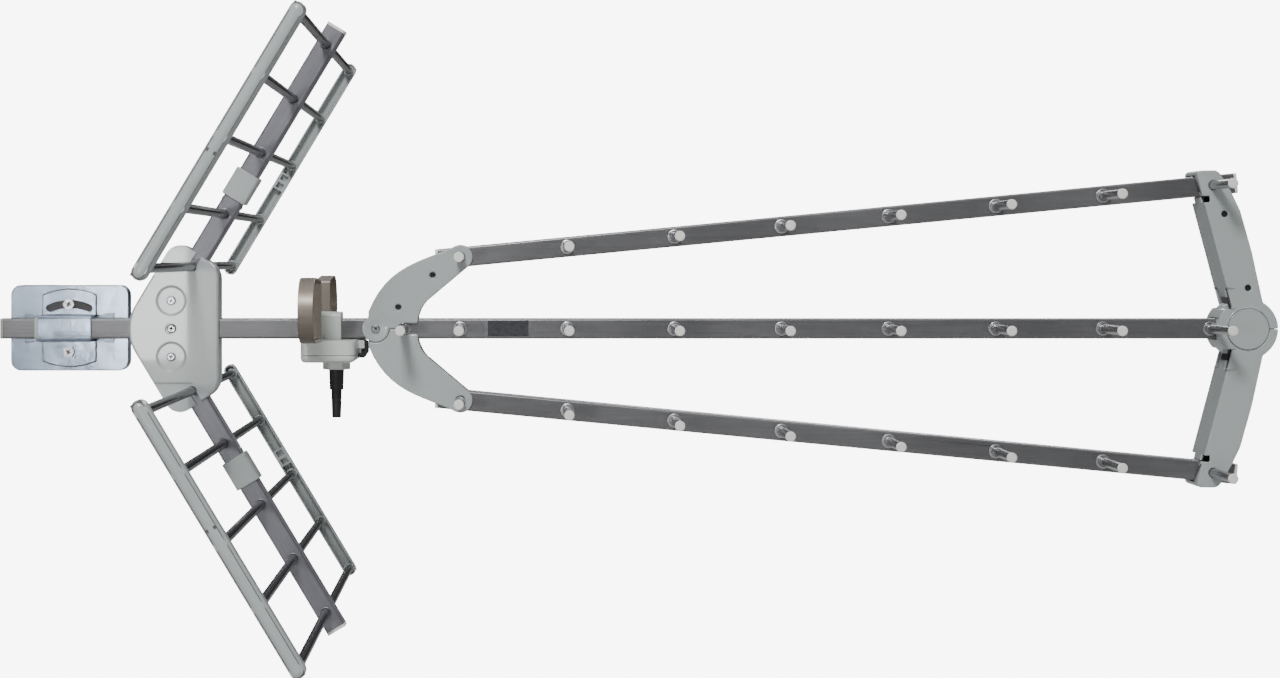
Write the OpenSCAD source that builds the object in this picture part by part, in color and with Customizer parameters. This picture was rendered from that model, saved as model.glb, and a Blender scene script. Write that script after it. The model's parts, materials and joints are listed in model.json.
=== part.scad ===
// Television aerial for the UHF band: three director booms that fan out from a plastic spreader,
// a loop dipole over its connection box, a corner reflector of ten rods and a tilting mast clamp.
// The origin is on the mast's axis, level with the middle boom's centre line. +X is the way the
// aerial looks, +Z is up, and the booms run in front of the mast, towards -Y.

/* [Booms] */
// Width and height of the square boom tube
boom_w = 18; // [16:0.5:22]
// Wall of the boom tube
boom_wall = 1.2; // [0.8:0.1:2]
// Outside corner radius of the boom tube
boom_corner_r = 2; // [1:0.25:3]
// Reach of the middle boom behind the mast's axis
boom_tail = 55; // [45:1:80]
// Reach of the middle boom past the front spreader's centre
boom_nose = 12; // [8:0.5:14]
// Height of the outer booms over the middle one at the first station
rear_rise = 63.6; // [58:0.2:75]
// Height of the outer booms over the middle one at the last station
front_rise = 127.2; // [115:0.2:140]
// Reach of an outer boom behind the first station
outer_tail = 19.5; // [16:0.5:26]
// Reach of an outer boom past the last station
outer_nose = 21.5; // [18:0.5:30]
// Thickness of the cap that closes a boom's end
plug_lip = 2.6; // [1:0.2:4]
// Depth that a boom's cap goes into the tube
plug_depth = 8; // [4:0.5:12]

/* [Directors] */
// Length of a director tube without its caps
director_l = 134; // [120:1:160]
// Diameter of a director tube
director_d = 8; // [6:0.25:9]
// Wall of a director tube
director_wall = 0.8; // [0.5:0.1:1.5]
// Thickness of a director's end cap
director_cap = 1.6; // [1:0.1:3]
// Distance from the mast's axis to the first of the eight stations
station_x = 351.5; // [345:0.5:365]
// Distance from one station to the next, along the middle boom
station_pitch = 95.2; // [85:0.2:105]
// Stations along each boom
station_count = 8; // [6:1:9]
// Distance from the mast's axis to the director between the rear spreader's arms
rear_director_x = 301; // [298:0.5:306]

/* [Reflector] */
// Angle between a reflector arm and the boom
arm_angle = 59; // [56:0.5:62]
// Distance from the mast's axis to the screws that hold the arms
arm_x = 95.2; // [92:0.2:98]
// Height of the arm screws over the boom's centre line
arm_z = 24.9; // [24:0.1:27]
// Distance along an arm from its screw to its end
arm_l = 282; // [276:1:300]
// Distance along an arm from its screw to the first rod
rod_first = 35.2; // [33:0.2:37]
// Distance from the first rod to the second
rod_pitch_in = 54.7; // [50:0.2:58]
// Distance from the second rod to the third, with the joint between them
rod_gap = 63.4; // [60:0.2:68]
// Distance from the arm's end to its last rod
rod_tip = 16.3; // [10:0.1:40]
// Distance from the boom's middle plane to a reflector rod's end
rod_half = 266; // [240:1:290]
// Diameter of a reflector rod
rod_d = 8; // [7:0.25:9]
// Wall of a reflector rod
rod_wall = 0.8; // [0.5:0.1:1.5]
// Distance along an arm from its screw to the middle of the sleeve
sleeve_at = 119; // [116:0.5:124]
// Length of the sleeve that joins an arm's two tubes
sleeve_l = 27; // [20:0.5:32]
// Wall of the sleeve
sleeve_wall = 2.5; // [1.5:0.1:4]
// Diameter of a rivet beside the sleeve
rivet_d = 4; // [3:0.25:5]
// Width of a rod end strip
strip_w = 13; // [12:0.25:16]
// Depth of a rod end strip
strip_depth = 13; // [10:0.25:16]
// Wall of a rod end strip
strip_wall = 1.5; // [1:0.1:2]
// Wall of the ring round a rod's end
strip_ring = 1.2; // [0.8:0.1:1.6]
// Length of the tongue on each side of the joint
tongue_l = 9; // [6:0.5:14]
// Distance along an arm from its screw to the joint of its strips
strip_joint = 134; // [131:0.5:137]
// Distance from the first rod to the strip's lower end
strip_end_in = 10; // [7:0.5:14]
// Distance from the last rod to the strip's outer end
strip_end_out = 7.5; // [7:0.5:12]

/* [Hub] */
// Thickness of the hub's front over the boom
hub_front_t = 4; // [3:0.25:6]
// Step from the hub's ears up to its raised front
hub_step = 2; // [1:0.25:3]
// Thickness of the hub's back behind the boom
hub_rear_t = 2.3; // [1.5:0.1:2.6]
// Wall round the hub
hub_wall = 2.5; // [1.5:0.25:3]
// Distance from the arm screws to the hub's flat right side
hub_front_reach = 42; // [40:0.5:46]
// Distance from the arm screws to the hub's nose
hub_rear_reach = 38; // [34:0.5:39]
// Radius of the hub's nose
hub_nose_r = 41.7; // [36:0.1:44]
// Radius of the hub's ears
hub_ear_r = 14; // [12:0.25:16]
// Height of the shoulder's corner circle above the arm's screw
hub_shoulder_z = 18.6; // [10:0.1:30]
// Height of the ear's corner circle above the arm's screw
hub_ear_z = 35.3; // [20:0.1:50]
// Distance of the ear's corner circle in front of the arm's screw
hub_ear_x = 7.5; // [0:0.1:20]
// Height of the step below the ear, above the arm's screw
hub_ledge_z = 22.7; // [15:0.1:35]
// Length of the key beside each arm screw
hub_key_l = 6.5; // [3:0.1:8]
// Radius of the hub's shoulders
hub_shoulder_r = 19.5; // [16:0.25:21]
// Width of the open slot for the first rod
hub_slot_w = 6.6; // [5:0.2:8]
// Radius of the dished ring round an arm screw
hub_dish_r = 13.8; // [10:0.2:15]
// Depth of that dish
hub_dish_depth = 1.2; // [0.5:0.1:2]
// Radius of the countersunk hole round the centre screw
hub_sink_r = 5.4; // [4.6:0.1:7]

/* [Spreaders] */
// Distance from the mast's axis to the rear spreader's screw
rear_pivot_x = 276.3; // [272:0.5:280]
// Thickness of a spreader cheek beside the boom
cheek_t = 2.8; // [2:0.2:4]
// Radius of the rear spreader's boss
rear_boss_r = 12; // [10:0.25:14]
// Rim of plastic round an outer boom at a spreader's tip
tip_rim = 2; // [1.2:0.1:3]
// Half height of the open slot between the rear spreader's arms
slot_half = 4.8; // [4.2:0.2:6]
// Reach of the rear spreader's arms past their director
slot_reach = 12.8; // [10:0.2:16]
// Radius of the dark holes in a spreader arm
peg_hole_r = 2.7; // [2:0.1:4]
// Distance from the last station forward to the front spreader's centre
front_reach = 30.7; // [29:0.1:33]
// Depth of the front spreader across the booms
front_depth = 35; // [30:0.5:40]
// Radius of the front spreader's boss
front_boss_r = 27; // [24:0.5:30]
// Radius of the foot of the front spreader's arm
front_foot_r = 11.8; // [8:0.1:16]
// Radius of the corners along its back
front_edge_r = 8; // [4:0.1:12]
// Width of the slots in its wall
slot_w = 9; // [5:0.1:12]
// Radius of the disc in the front spreader's boss
front_disc_r = 18.6; // [16:0.2:21]
// Thickness of the front discs
disc_t = 4; // [2:0.1:6]
// Height of the disc over the front spreader's face
front_disc_rise = 0.8; // [0.4:0.1:1.5]
// Wall of the front spreader
front_wall = 2.5; // [1.5:0.1:3.5]

/* [Dipole] */
// Distance from the mast's axis to the middle of the dipole loops
dipole_x = 224.8; // [222:0.2:228]
// Width of the dipole strip
dipole_w = 13; // [10:0.25:15]
// Thickness of the dipole strip
dipole_t = 1.6; // [1:0.1:2.5]
// Distance from the boom's middle plane to a loop's inner side
loop_in = 44; // [38:0.5:48]
// Distance from the boom's middle plane to a loop's outer end
loop_out = 124; // [110:0.5:140]
// Height of a loop at its outer end
loop_h = 55.8; // [50:0.2:62]
// How much a loop gets lower towards the boom
loop_drop = 2.8; // [0:0.2:6]
// Length of the connection box along the boom
box_l = 47.5; // [42:0.5:54]
// Width of the connection box across the boom
box_w = 100; // [98:1:120]
// Height of the connection box with its lid
box_h = 19; // [16:0.25:24]
// Height of the box's lid
lid_h = 6.4; // [4:0.2:8]
// Distance from the middle of the loops to the middle of the box
box_shift = 12; // [8:0.25:13]
// Reach of the latch beyond the box's end
latch_l = 8.9; // [6:0.1:15]
// Width of the latch
latch_w = 14; // [8:0.1:30]
// Length of the clip that straps the box to the boom
clip_l = 19; // [14:0.25:24]
// Thickness of the clip over the boom
clip_t = 5.8; // [3:0.2:8]
// Thickness of the clip beside the boom
clip_side_t = 4; // [2:0.2:6]
// Distance across the corners of the cable nut
gland_d = 25; // [20:0.5:28]
// Height of the cable nut
gland_h = 8; // [5:0.25:12]
// Diameter of the rubber boot at its top
boot_d = 13.6; // [12:0.2:16]
// Diameter of the rubber boot at its tip
boot_tip_d = 8; // [7:0.1:9]
// Length of the boot's upper half
boot_upper_l = 18; // [14:0.5:24]
// Length of the boot's lower half
boot_lower_l = 25; // [18:0.5:32]
// Diameter of the cable that the boot takes
cable_d = 5; // [4:0.1:6]

/* [Mast clamp] */
// Diameter of the mast
mast_d = 35; // [30:0.5:42]
// Width of the clamp's front plate
plate_w = 106; // [100:1:110]
// Height of the clamp's front plate
plate_h = 77; // [74:0.5:90]
// Corner radius of the clamp's front plate
plate_corner_r = 9; // [6:0.5:14]
// Thickness of the clamp's front plate
plate_t = 2; // [1.5:0.1:3]
// Thickness of the seat and the jaw that hold the mast
seat_t = 2.5; // [2:0.1:3.5]
// Half of the angle that the seat and the jaw wrap round the mast
wrap_angle = 60; // [56:1:65]
// Height of the rear jaw
jaw_h = 40; // [30:1:60]
// Width of the rear jaw
jaw_w = 80; // [72:1:90]
// Distance from the mast's axis to a clamp bolt
bolt_x = 29; // [28:0.5:31]
// Diameter of a clamp bolt
bolt_d = 8; // [6:0.5:8]
// Thickness of the saddle's sheet
saddle_t = 1.8; // [1.2:0.1:2]
// Length of the saddle along the boom
saddle_l = 47.4; // [44:0.2:52]
// Height of the saddle's flanges over the boom's centre line
saddle_h = 34.5; // [33:0.5:36]
// Distance from the boom's centre line to a tilt screw
tilt_z = 21.4; // [20.5:0.1:23]
// Diameter of a tilt screw
tilt_d = 6; // [5:0.25:6]
// Half of the angle that the slot lets the aerial tilt
tilt_angle = 24; // [20:1:25]
// Thickness of the plastic liner round the boom
liner_t = 1; // [0.6:0.1:1.4]
// How far the liner shows beside the saddle
liner_show = 3; // [1:0.25:6]
// Height of the cradle behind the boom
cradle_h = 27; // [24:0.5:28]
// Length of the cradle behind the boom
cradle_l = 80; // [70:1:86]
// Thickness of the cradle behind the boom
cradle_t = 1.7; // [1.2:0.1:2.5]

/* [Fits] */
// Radial clearance of a piece that is pushed or staked into another
push_fit = 0.02; // [0.01:0.01:0.05]
// Radial clearance of the tilt pivot
pivot_fit = 0.05; // [0.02:0.01:0.08]
// Gap between faces that tilt past each other
tilt_gap = 0.3; // [0.2:0.05:0.5]
// Seam between two plastic mouldings
seam = 0.3; // [0.1:0.05:0.6]
// Radial clearance of a bolt in its hole
bolt_fit = 0.2; // [0.1:0.05:0.5]

/* [Hidden] */
$fn = 48;
// Overrun of a cut past the face it opens
cut = 1;

boom_half = boom_w / 2;
boom_socket = boom_half + push_fit;
last_x = station_x + (station_count - 1) * station_pitch;
splay = atan((front_rise - rear_rise) / (last_x - station_x));
front_x = last_x + front_reach;
main_end = front_x + boom_nose;
outer_step = station_pitch / cos(splay);
outer_last = (station_count - 1) * outer_step;

// Layers of the mast clamp behind the boom's middle plane
liner_half = boom_socket + liner_t;
tilt_face = liner_half + cradle_t;
plate_face = tilt_face + tilt_gap;
seat_face = plate_face + plate_t;
mast_r = mast_d / 2;
boom_offset = seat_face + seat_t + mast_r;
wing_back = boom_offset - mast_r * cos(wrap_angle);
wing_front = wing_back - seat_t;
jaw_front = boom_offset + mast_r * cos(wrap_angle);

// Places of the reflector's rods along an arm
rod_third = rod_first + rod_pitch_in + rod_gap;
rod_last = arm_l - rod_tip;
arm_rods = [rod_first, rod_first + rod_pitch_in, rod_third, (rod_third + rod_last) / 2, rod_last];
arm_root = -(arm_z - boom_half - 1 - boom_half * cos(arm_angle)) / sin(arm_angle);
rod_hole_r = rod_d / 2 + push_fit;
strip_crown = rod_half + strip_wall;
strip_start = rod_first - strip_end_in;
strip_stop = arm_rods[4] + strip_end_out;
sleeve_half = boom_socket + sleeve_wall;

// Corner circles of the hub, and the step below its ears
hub_ledge = arm_z + hub_ledge_z;
hub_shoulder_x = arm_x + hub_front_reach - hub_shoulder_r;
hub_corners = [[hub_shoulder_x, -arm_z - hub_shoulder_z, hub_shoulder_r],
    [hub_shoulder_x, arm_z + hub_shoulder_z, hub_shoulder_r],
    [arm_x + hub_ear_x, arm_z + hub_ear_z, hub_ear_r],
    [arm_x - hub_rear_reach + hub_nose_r, 0, hub_nose_r],
    [arm_x + hub_ear_x, -arm_z - hub_ear_z, hub_ear_r]];
hub_face = boom_socket + hub_front_t;
screw_d = 4.4;
screw_head_d = 8;
screw_head_t = 2.2;

tip_r = boom_half + tip_rim;
rear_span = [station_x - rear_pivot_x, rear_rise];
cheek_face = boom_socket + cheek_t;
front_half = front_depth / 2;

loop_floor = -boom_half - 0.5;
loop_r = loop_h / 2;
box_x = dipole_x + box_shift;
lid_top = loop_floor - box_h + lid_h;
box_floor = loop_floor - box_h;
gland_floor = box_floor - gland_h;
boot_floor = gland_floor - boot_upper_l - boot_lower_l;
clip_x = box_x - 0.5;

// Direction of the outward normal where a line leaves circle a for circle b, anticlockwise
function tangent_a(a, b) = atan2(b[1] - a[1], b[0] - a[0])
    - acos((a[2] - b[2]) / norm([b[0] - a[0], b[1] - a[1]]));
// Points along an anticlockwise arc
function arc(c, r, a0, a1, n) = let (span = (a1 - a0) - 360 * floor((a1 - a0) / 360))
    [for (i = [0 : n]) [c[0] + r * cos(a0 + span * i / n), c[1] + r * sin(a0 + span * i / n)]];
// Convex outline round a list of corner circles [x, y, r], drawn in by inset
function outline(c, inset = 0, n = 10) = let (m = len(c))
    [for (i = [0 : m - 1]) let (p = c[(i + m - 1) % m], q = c[(i + 1) % m])
        each arc(c[i], c[i][2] - inset, tangent_a(p, c[i]), tangent_a(c[i], q), n)];
// Corner circles of a rectangle with rounded corners
function box_corners(w, h, r) = [[w / 2 - r, -h / 2 + r, r], [w / 2 - r, h / 2 - r, r],
    [-w / 2 + r, h / 2 - r, r], [-w / 2 + r, -h / 2 + r, r]];
// Points of a cubic curve
function curve(a, b, c, d, n = 12) = [for (i = [0 : n]) let (t = i / n, s = 1 - t)
    s * s * s * a + 3 * s * s * t * b + 3 * s * t * t * c + t * t * t * d];
function dir(a) = [cos(a), sin(a)];

// Places its children in the booms' middle plane
module in_boom_plane() translate([0, -boom_offset, 0]) children();
// Turns its children upside down for the lower side
module on_side(side) mirror([0, 0, side < 0 ? 1 : 0]) children();
// Flat shape in the XZ plane: y is its back face and t its thickness towards -Y
module xz(y, t) translate([0, y, 0]) rotate([90, 0, 0]) linear_extrude(t) children();
// Round bar along Y, centred on the boom's middle plane unless y0 and y1 are given
module y_bar(x, z, r, y0, y1) translate([x, y1, z]) rotate([90, 0, 0]) cylinder(h = y1 - y0, r = r);
// Frame of an outer boom: its first station is the origin and X runs along it
module on_outer(side) on_side(side) translate([station_x, 0, rear_rise]) rotate([0, -splay, 0])
    children();
// Frame of a reflector arm: its screw is the origin and X runs along it
module on_arm(side) on_side(side) translate([arm_x, 0, arm_z]) rotate([0, -arm_angle, 0])
    children();

module square_profile(w, r) {
    square([w - 2 * r, w], center = true);
    square([w, w - 2 * r], center = true);
    for (x = [-1, 1], z = [-1, 1]) translate([x, z] * (w / 2 - r)) circle(r);
}

// Square bar or tube along X from x0 to x1
module square_bar(x0, x1, w, r) translate([x0, 0, 0]) rotate([90, 0, 90])
    linear_extrude(x1 - x0) square_profile(w, r);
module square_tube(x0, x1, w, wall, r) difference() {
    square_bar(x0, x1, w, r);
    square_bar(x0 - cut, x1 + cut, w - 2 * wall, max(r - wall, 0.4));
}

// Cap of a square tube: dir_x is 1 for a front end and -1 for a rear end
module square_cap(x, dir_x) translate([x, 0, 0]) mirror([dir_x < 0 ? 1 : 0, 0, 0]) {
    square_bar(0, plug_lip, boom_w, boom_corner_r);
    square_bar(-plug_depth, 0, boom_w - 2 * boom_wall - 2 * push_fit, max(boom_corner_r - boom_wall, 0.4));
}

module round_tube(x, z, l, d, wall) difference() {
    y_bar(x, z, d / 2, -l / 2, l / 2);
    y_bar(x, z, d / 2 - wall, -l / 2 - cut, l / 2 + cut);
}

// Domed cap with a plug, at both ends of a director
module director_cap_pair(x, z) for (s = [-1, 1]) mirror([0, s < 0 ? 1 : 0, 0])
    translate([x, director_l / 2, z]) rotate([-90, 0, 0]) {
        cylinder(h = director_cap - 0.6, r = director_d / 2 + 0.4);
        translate([0, 0, director_cap - 0.6])
            cylinder(h = 0.6, r1 = director_d / 2 + 0.4, r2 = director_d / 2 - 0.4);
        translate([0, 0, -plug_depth]) cylinder(h = plug_depth,
            r = director_d / 2 - director_wall - push_fit);
    }

// Stations of the middle boom's directors
main_stations = concat([rear_director_x],
    [for (i = [0 : station_count - 1]) station_x + i * station_pitch]);

module main_boom() color("#9a9ba1") in_boom_plane() difference() {
    square_tube(-boom_tail, main_end, boom_w, boom_wall, boom_corner_r);
    for (x = main_stations) y_bar(x, 0, director_d / 2 + push_fit, -boom_w, boom_w);
    for (x = [arm_x, rear_pivot_x, front_x]) y_bar(x, 0, screw_d / 2 + push_fit, -boom_w, boom_w);
}

module outer_boom(side) color("#9a9ba1") in_boom_plane() on_outer(side) difference() {
    square_tube(-outer_tail, outer_last + outer_nose, boom_w, boom_wall, boom_corner_r);
    for (i = [0 : station_count - 1])
        y_bar(i * outer_step, 0, director_d / 2 + push_fit, -boom_w, boom_w);
}

module main_boom_caps() color("#b4b2a8") in_boom_plane() square_cap(-boom_tail, -1);

module outer_boom_caps(side) color("#c9ccc7") in_boom_plane() on_outer(side) {
    square_cap(-outer_tail, -1);
    square_cap(outer_last + outer_nose, 1);
}

module main_directors() color("#77777b") in_boom_plane()
    for (x = main_stations) round_tube(x, 0, director_l, director_d, director_wall);

module outer_directors(side) color("#77777b") in_boom_plane() on_outer(side)
    for (i = [0 : station_count - 1])
        round_tube(i * outer_step, 0, director_l, director_d, director_wall);

module main_director_caps() color("#d7dad6") in_boom_plane()
    for (x = main_stations) director_cap_pair(x, 0);

module outer_director_caps(side) color("#d7dad6") in_boom_plane() on_outer(side)
    for (i = [0 : station_count - 1]) director_cap_pair(i * outer_step, 0);

// Room for the boom, the arms and the first rods inside the hub
module hub_tubes(y0, y1) {
    translate([arm_x, (y0 + y1) / 2, 0]) cube([300, y1 - y0, 2 * boom_socket], center = true);
    for (side = [-1, 1]) on_arm(side) translate([arm_root - push_fit, y0, -boom_socket])
        cube([100, y1 - y0, 2 * boom_socket]);
}

// Slot that the first rod lies in, with a round end
module hub_slots(y0, y1) for (side = [-1, 1]) on_arm(side) {
    y_bar(rod_first, 0, rod_d / 2 + 0.4, y0, y1);
    translate([rod_first, y0, -hub_slot_w / 2]) cube([2 * rod_first, y1 - y0, hub_slot_w]);
}

// Wall of one hub half from the boom's middle plane to its plate, with a shadow line at the seam
module hub_rim(depth) difference() {
    xz(0, depth) polygon(outline(hub_corners));
    xz(cut, depth + 2 * cut) polygon(outline(hub_corners, hub_wall));
    difference() {
        xz(cut, cut + seam) polygon(outline(hub_corners, -cut));
        xz(cut, cut + seam) polygon(outline(hub_corners, 0.8));
    }
}

// Raised key beside each arm screw, in its dish
module hub_keys() in_boom_plane() for (side = [-1, 1])
    translate([arm_x - screw_head_d / 2 - 1 - hub_key_l, -hub_face + hub_dish_depth / 3, side * arm_z])
        translate([0, 0, -hub_key_l / 6]) cube([hub_key_l, hub_dish_depth, hub_key_l / 3]);

module hub_front() color("#b0b6b2") {
    hub_keys();
    hub_cover();
}

module hub_cover() in_boom_plane() difference() {
    union() {
        hub_rim(boom_socket);
        xz(-boom_socket, hub_front_t - 2) polygon(outline(hub_corners));
        for (step = [0 : 2]) hull() {
            xz(-hub_face + 2 * (1 - sin(30 * step)), 0.01)
                polygon(outline(hub_corners, 2 * (1 - cos(30 * step))));
            xz(-hub_face + 2 * (1 - sin(30 * (step + 1))) + 0.01, 0.01)
                polygon(outline(hub_corners, 2 * (1 - cos(30 * (step + 1)))));
        }
    }
    hub_tubes(-boom_socket, cut);
    hub_slots(-hub_face - cut, cut);
    for (side = [-1, 1]) {
        // Ears, one step lower than the front
        on_side(side) xz(-hub_face + hub_step, hub_step + cut) polygon([
            [arm_x, arm_z] + 2.5 * rod_first * dir(arm_angle),
            [arm_x, arm_z] + rod_first * dir(arm_angle),
            [arm_x + rod_first * cos(arm_angle) + 1, hub_ledge],
            [arm_x - 2 * hub_rear_reach, hub_ledge],
            [arm_x - 2 * hub_rear_reach, arm_z + 2.5 * rod_first]]);
        y_bar(arm_x, side * arm_z, screw_d / 2 + push_fit, -hub_face - cut, cut);
        translate([arm_x, -hub_face, side * arm_z]) rotate([-90, 0, 0])
            cylinder(h = hub_dish_depth, r1 = hub_dish_r, r2 = hub_dish_r - 2.4);
    }
    y_bar(arm_x, 0, screw_d / 2 + push_fit, -hub_face - cut, cut);
    y_bar(arm_x, 0, hub_sink_r, -hub_face - cut, -boom_socket - 1);
}

module hub_rear() color("#b0b6b2") in_boom_plane() difference() {
    union() {
        mirror([0, 1, 0]) hub_rim(boom_socket);
        xz(boom_socket + hub_rear_t, hub_rear_t) polygon(outline(hub_corners));
    }
    hub_tubes(-cut, boom_socket);
    hub_slots(-cut, boom_socket + hub_rear_t + cut);
    for (z = [-arm_z, 0, arm_z])
        y_bar(arm_x, z, screw_d / 2 + push_fit, -cut, boom_socket + hub_rear_t + cut);
}

// Pan head screw that points to +Y from its head's underside at y0
module pan_screw(x, z, y0, y1, head_d, head_t, shank_d) {
    y_bar(x, z, shank_d / 2, y0, y1);
    translate([x, y0, z]) rotate([90, 0, 0]) {
        cylinder(h = head_t * 0.5, r = head_d / 2);
        translate([0, 0, head_t * 0.5]) cylinder(h = head_t * 0.5, r1 = head_d / 2, r2 = head_d * 0.36);
    }
}

module hub_screws() color("#8f9396") in_boom_plane() {
    for (side = [-1, 1]) pan_screw(arm_x, side * arm_z, -hub_face + hub_dish_depth,
        boom_socket + hub_rear_t, screw_head_d, screw_head_t, screw_d);
    pan_screw(arm_x, 0, -boom_socket - 1, boom_socket + hub_rear_t, screw_head_d, screw_head_t, screw_d);
}

module arm_tube(side, x0, x1) color("#a0a0aa") in_boom_plane() on_arm(side) difference() {
    square_tube(x0, x1, boom_w, boom_wall, boom_corner_r);
    for (x = arm_rods) y_bar(x, 0, rod_hole_r, -boom_w, boom_w);
    y_bar(0, 0, screw_d / 2 + push_fit, -boom_w, boom_w);
    for (s = [-1, 1]) translate([sleeve_at - sleeve_l / 2 - rivet_d, 0, 0])
        cylinder(h = boom_w + 2, r = rivet_d / 4 + push_fit, center = true);
}

module arm_sleeve(side) color("#b0b6b2") in_boom_plane() on_arm(side) difference() {
    square_bar(sleeve_at - sleeve_l / 2, sleeve_at + sleeve_l / 2, 2 * sleeve_half, boom_corner_r);
    square_bar(sleeve_at - sleeve_l / 2 - cut, sleeve_at + sleeve_l / 2 + cut, 2 * boom_socket,
        boom_corner_r);
}

module arm_caps() color("#d7dad6") in_boom_plane() for (side = [-1, 1]) on_arm(side) square_cap(arm_l, 1);

module arm_rivets() color("#8f9396") in_boom_plane() for (side = [-1, 1], s = [-1, 1])
    on_arm(side) translate([sleeve_at - sleeve_l / 2 - rivet_d, 0, 0]) mirror([0, 0, s < 0 ? 1 : 0]) {
        translate([0, 0, boom_half - boom_wall]) cylinder(h = boom_wall, r = rivet_d / 4);
        translate([0, 0, boom_half]) cylinder(h = 0.6, r = rivet_d / 2);
        translate([0, 0, boom_half + 0.6]) cylinder(h = 0.7, r1 = rivet_d / 2, r2 = rivet_d / 4);
    }

module arm_rod_set(side) color("#6b6b70") in_boom_plane() on_arm(side)
    for (x = arm_rods) round_tube(x, 0, 2 * rod_half, rod_d, rod_wall);

// Channel with a half round crown and round ends, open towards the arm
module strip_body(r) {
    flank = strip_depth - strip_w / 2;
    rim = strip_crown - strip_depth;
    first = strip_start + strip_w / 2;
    last = strip_stop - strip_w / 2;
    translate([first, rim, 0]) rotate([90, 0, 90]) linear_extrude(last - first) {
        translate([0, -r]) square([flank, 2 * r]);
        translate([flank, 0]) circle(r);
    }
    for (x = [first, last]) translate([x, rim, 0]) rotate([-90, 0, 0]) {
        cylinder(h = flank, r = r);
        translate([0, 0, flank]) sphere(r);
    }
}

// Tongue of the inner section that reaches into the outer one, shaped like an H from inside
module strip_tongue() difference() {
    union() {
        intersection() {
            translate([0, -strip_wall, 0]) strip_body(strip_w / 2 - strip_wall / 2);
            translate([strip_joint - tongue_l, strip_crown - strip_depth, -strip_w])
                cube([tongue_l, strip_depth, 2 * strip_w]);
        }
        intersection() {
            translate([0, -strip_wall - push_fit, 0]) strip_body(strip_w / 2 - strip_wall - push_fit);
            translate([strip_joint - cut, strip_crown - strip_depth, -strip_w])
                cube([tongue_l + cut, strip_depth, 2 * strip_w]);
        }
    }
    for (s = [-1, 1]) translate([strip_joint + s * tongue_l / 2 - tongue_l / 3,
            strip_crown - strip_depth - cut, -strip_w / 2 + 2 * strip_wall])
        cube([tongue_l / 1.5, strip_depth / 2 + cut, strip_w - 4 * strip_wall]);
}

module strip_section(side, face, part) color("#b4bab6") in_boom_plane() on_arm(side)
    mirror([0, face < 0 ? 1 : 0, 0]) {
        strip_shell(part);
        if (part < 0) strip_tongue();
    }

module strip_shell(part) difference() {
    union() {
        difference() {
            strip_body(strip_w / 2);
            translate([0, -strip_wall, 0]) strip_body(strip_w / 2 - strip_wall);
            translate([strip_start - cut, strip_crown - strip_depth - strip_wall - cut, -strip_w])
                cube([strip_stop - strip_start + 2 * cut, strip_wall + cut, 2 * strip_w]);
        }
        for (x = arm_rods)
            y_bar(x, 0, rod_hole_r + strip_ring, strip_crown - strip_depth, strip_crown - strip_wall);
    }
    for (x = arm_rods)
        y_bar(x, 0, rod_hole_r, strip_crown - strip_depth - cut, rod_half + push_fit);
    // Only one of the two sections is kept
    translate([part < 0 ? strip_joint : strip_joint - 400, strip_crown - 2 * strip_depth, -strip_w])
        cube([400, 3 * strip_depth, 2 * strip_w]);
    // Two small windows beside the joint
    for (s = [-1, 1])
        translate([strip_joint + 0.45 * tongue_l, strip_crown - strip_depth, (s * 0.26 - 0.09) * strip_w])
            cube([tongue_l / 3, 2 * strip_depth, 0.18 * strip_w]);
}

rear_foot = [rear_pivot_x, 0];
rear_tip = [station_x, rear_rise];
rear_bend = rear_tip - [0.39 * rear_span[0], 0.61 * rear_span[1]];
rear_slot_end = [rear_director_x + slot_reach, slot_half];
rear_sides = concat(
    curve(rear_tip + tip_r * dir(125), rear_tip - [0.44 * rear_span[0], 0.055 * rear_span[1]],
        rear_foot + [0.13 * rear_span[0], 0.896 * rear_span[1]], rear_foot + [-6.5, 15]),
    [rear_foot + [-6.5, seam / 2], [rear_slot_end[0], seam / 2]],
    curve(rear_slot_end, rear_slot_end + [0, 8], rear_bend - [4.5, 4.5], rear_bend, 8),
    arc(rear_tip, tip_r, -40, 125, 14));

// Moulding of the rear spreader's upper arm; the lower arm is the same one turned over
module rear_spreader() difference() {
    union() {
        xz(cheek_face, 2 * cheek_face) difference() {
            polygon(rear_sides);
            translate([rear_director_x, -slot_half]) square([slot_reach + cut, 2 * slot_half]);
            translate([rear_director_x, 0]) circle(rod_hole_r + 0.4);
        }
        y_bar(rear_pivot_x, 0, rear_boss_r, -cheek_face, -boom_socket);
    }
    translate([rear_pivot_x, 0, 0]) cube([140, 2 * boom_socket, 2 * boom_socket], center = true);
    on_outer(1) translate([-boom_w * 1.5, -boom_socket, -boom_socket])
        cube([60, 2 * boom_socket, 2 * boom_socket]);
    on_outer(1) y_bar(0, 0, rod_hole_r, -cheek_face - cut, cheek_face + cut);
    // Round recess for the other arm's disc
    y_bar(rear_pivot_x, 0, rear_boss_r + seam, boom_socket, cheek_face + cut);
    y_bar(rear_pivot_x, 0, screw_d / 2 + push_fit, -cheek_face - cut, cheek_face + cut);
    translate([rear_pivot_x, -cheek_face, 0]) rotate([-90, 0, 0])
        cylinder(h = 1.2, r1 = rear_boss_r - 3, r2 = screw_head_d / 2 + 0.3);
    // Two sockets in the front face
    for (k = [0.674, 0.269])
        y_bar(rear_pivot_x + k * rear_span[0], 1.11 * k * rear_span[1], peg_hole_r,
            -cheek_face - cut, -cheek_face + 2 * cheek_t);
}

module rear_spreader_upper() color("#b0b6b2") in_boom_plane() rear_spreader();
module rear_spreader_lower() color("#b0b6b2") in_boom_plane() rotate([180, 0, 0]) rear_spreader();
module rear_spreader_screw() color("#8f9396") in_boom_plane()
    pan_screw(rear_pivot_x, 0, -cheek_face + 1.2, cheek_face, screw_head_d, screw_head_t, screw_d);

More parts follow.
